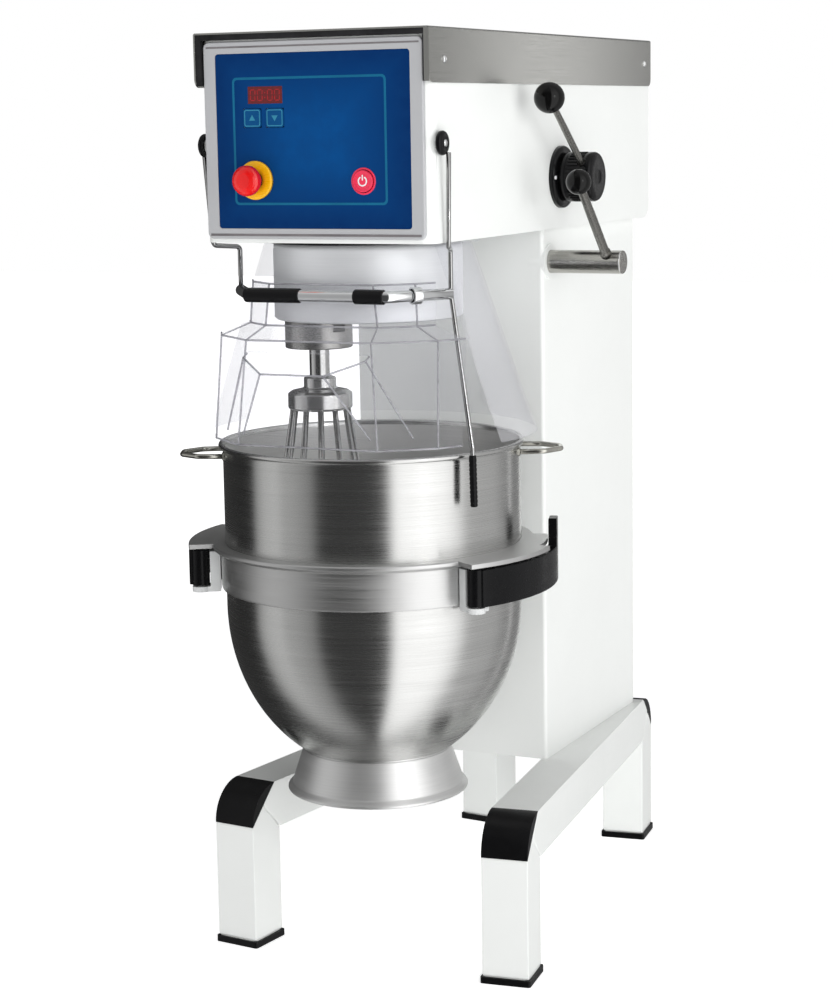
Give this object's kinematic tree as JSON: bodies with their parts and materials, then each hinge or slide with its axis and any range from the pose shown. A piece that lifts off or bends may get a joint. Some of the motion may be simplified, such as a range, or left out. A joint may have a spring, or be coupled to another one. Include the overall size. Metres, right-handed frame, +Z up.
{
  "type": "commercial stand mixer",
  "caption": "Floor-standing planetary food mixer with a bowl lift lever, speed lever, tilting clear bowl guard and push-button panel on a splayed four-legged base.",
  "frame": {"origin": "on the floor, on the upright plane through the bowl's axis and midway between the outline's front and back; the long lever reaches 9 mm further to the right than the bowl collar does to the left", "axes": "+Z up, +Y from the bowl towards the column's back, +X to the right seen from the front"},
  "size_m": [0.563, 1.0278, 1.4],
  "materials": {
    "white_paint": "satin powder coat",
    "black_cap": "moulded, slightly grained",
    "zinc_bolts": "zinc plated",
    "gland_plastic": "moulded",
    "cover_steel": "brushed lengthwise",
    "seal_rubber": "matt",
    "screw_steel": "polished",
    "bezel_grey": "satin",
    "panel_blue": "fine-textured printed film",
    "display_red": "tinted window",
    "key_teal": "raised film keys",
    "start_pink": "gloss",
    "stop_yellow": "gloss",
    "stop_red": "gloss",
    "stop_stem": "moulded",
    "board_green": "solder mask",
    "motor_grey": "enamel",
    "machined_steel": "machined",
    "belt_rubber": "fabric-faced",
    "cast_housing": "as cast",
    "bearing_steel": "ground",
    "drum_aluminium": "satin turned",
    "hub_steel": "turned",
    "whisk_steel": "polished",
    "bowl_stainless": "brushed round the bowl",
    "collar_stainless": "satin",
    "handle_wire": "satin wire",
    "yoke_iron": "painted casting",
    "guide_steel": "ground",
    "lever_steel": "satin",
    "black_ball": "high gloss",
    "lock_black": "moulded",
    "speed_black": "satin gloss",
    "guard_chrome": "polished",
    "guard_black": "moulded",
    "guard_clear": "clear polycarbonate"
  },
  "bodies": {
    "frame": {"beams": "white_paint", "legs": "white_paint", "corner_caps": "black_cap", "foot_caps": "black_cap", "base_bolts": "zinc_bolts", "column_floor": "white_paint", "column_shell": "white_paint", "rear_cover": "white_paint", "mains_gland": "gland_plastic", "head_shell": "white_paint", "top_cover": "cover_steel", "cover_seal": "seal_rubber", "cover_screws": "screw_steel", "panel_bezel": "bezel_grey", "panel_membrane": "panel_blue", "display_window": "display_red", "control_board": "board_green", "estop_collar": "stop_yellow", "motor": "motor_grey", "drive_belt": "belt_rubber", "gear_housing": "cast_housing", "main_bearings": "bearing_steel", "ring_gear": "machined_steel", "drum_seal": "seal_rubber", "guide_rods": "guide_steel", "speed_escutcheon": "speed_black", "guard_rear_screen": "guard_clear"},
    "key_up": {"key_up": "key_teal"},
    "key_down": {"key_down": "key_teal"},
    "start_button": {"start_button": "start_pink"},
    "estop_stem": {"estop_stem": "stop_stem"},
    "estop_mushroom": {"estop_mushroom": "stop_red"},
    "motor_rotor": {"motor_pulley": "machined_steel"},
    "layshaft": {"layshaft": "machined_steel"},
    "planet_head": {"main_gear": "machined_steel", "main_shaft": "machined_steel", "planet_drum": "drum_aluminium", "planet_bearings": "bearing_steel"},
    "tool": {"planet_pinion": "machined_steel", "tool_hub": "hub_steel", "whisk_head": "whisk_steel", "whisk_wires": "whisk_steel"},
    "bowl_lift": {"bowl_shell": "bowl_stainless", "bowl_collar": "collar_stainless", "bowl_foot": "bowl_stainless", "bowl_handles": "handle_wire", "bowl_yoke": "yoke_iron", "lift_carriage": "yoke_iron"},
    "lift_lever": {"lift_shaft": "lever_steel", "lift_rod": "lever_steel", "lift_ball": "black_ball"},
    "lock_right": {"lock_lever_right": "lock_black"},
    "lock_left": {"lock_lever_left": "lock_black"},
    "speed_lever": {"speed_hub": "speed_black", "speed_rod": "lever_steel", "speed_ball": "black_ball"},
    "guard": {"guard_frame": "guard_chrome", "guard_knobs": "guard_black", "guard_bumpers": "guard_black", "guard_front_screen": "guard_clear"}
  },
  "joints": [
    {"name": "bowl_lift", "type": "slide", "parent": "frame", "child": "bowl_lift", "axis": [0, 0, 1], "range_m": [-0.13788, 0]},
    {"name": "lift_lever", "type": "hinge", "parent": "frame", "child": "lift_lever", "pos_m": [0.1625, 0.04705, 1.052], "axis": [1, 0, 0], "range_deg": [-100, 0]},
    {"name": "drum_spin", "type": "hinge", "parent": "frame", "child": "planet_head", "pos_m": [0, -0.26395, 1.044], "axis": [0, 0, 1], "continuous": true},
    {"name": "tool_spin", "type": "hinge", "parent": "planet_head", "child": "tool", "pos_m": [-0.06682, -0.298, 0.964], "axis": [0, 0, 1], "continuous": true},
    {"name": "layshaft_spin", "type": "hinge", "parent": "frame", "child": "layshaft", "pos_m": [0, -0.10795, 1.25], "axis": [0, 0, 1], "continuous": true},
    {"name": "motor_spin", "type": "hinge", "parent": "frame", "child": "motor_rotor", "pos_m": [0, 0.29605, 1.2], "axis": [0, 0, 1], "continuous": true},
    {"name": "speed_lever", "type": "hinge", "parent": "frame", "child": "speed_lever", "pos_m": [0.228, 0.04805, 1.183], "axis": [-1, 0, 0], "range_deg": [0, 95]},
    {"name": "guard_tilt", "type": "hinge", "parent": "frame", "child": "guard", "pos_m": [0.188, -0.40595, 1.242], "axis": [-1, 0, 0], "range_deg": [0, 95]},
    {"name": "lock_right", "type": "hinge", "parent": "bowl_lift", "child": "lock_right", "pos_m": [0.22517, -0.39395, 0.62], "axis": [0, 0, -1], "range_deg": [0, 70]},
    {"name": "lock_left", "type": "hinge", "parent": "bowl_lift", "child": "lock_left", "pos_m": [-0.22517, -0.39395, 0.62], "axis": [0, 0, 1], "range_deg": [0, 70]},
    {"name": "key_up", "type": "slide", "parent": "frame", "child": "key_up", "axis": [0, 1, 0], "range_m": [0, 0.0012], "stiffness_N_per_m": 800},
    {"name": "key_down", "type": "slide", "parent": "frame", "child": "key_down", "axis": [0, 1, 0], "range_m": [0, 0.0012], "stiffness_N_per_m": 800},
    {"name": "start_button", "type": "slide", "parent": "frame", "child": "start_button", "axis": [0, 1, 0], "range_m": [0, 0.003], "stiffness_N_per_m": 600},
    {"name": "estop_press", "type": "slide", "parent": "frame", "child": "estop_stem", "axis": [0, 1, 0], "range_m": [0, 0.005]},
    {"name": "estop_twist", "type": "hinge", "parent": "estop_stem", "child": "estop_mushroom", "pos_m": [-0.091, -0.45395, 1.193], "axis": [0, -1, 0], "range_deg": [-45, 0], "stiffness_Nm_per_rad": 0.05}
  ],
  "couplings": [
    {"joint": "lift_lever", "follows": "bowl_lift", "rad_per_m": 12.657},
    {"joint": "tool_spin", "follows": "drum_spin", "ratio": -3.2727},
    {"joint": "layshaft_spin", "follows": "drum_spin", "ratio": -3.3333},
    {"joint": "motor_spin", "follows": "drum_spin", "ratio": -7.4074}
  ]
}
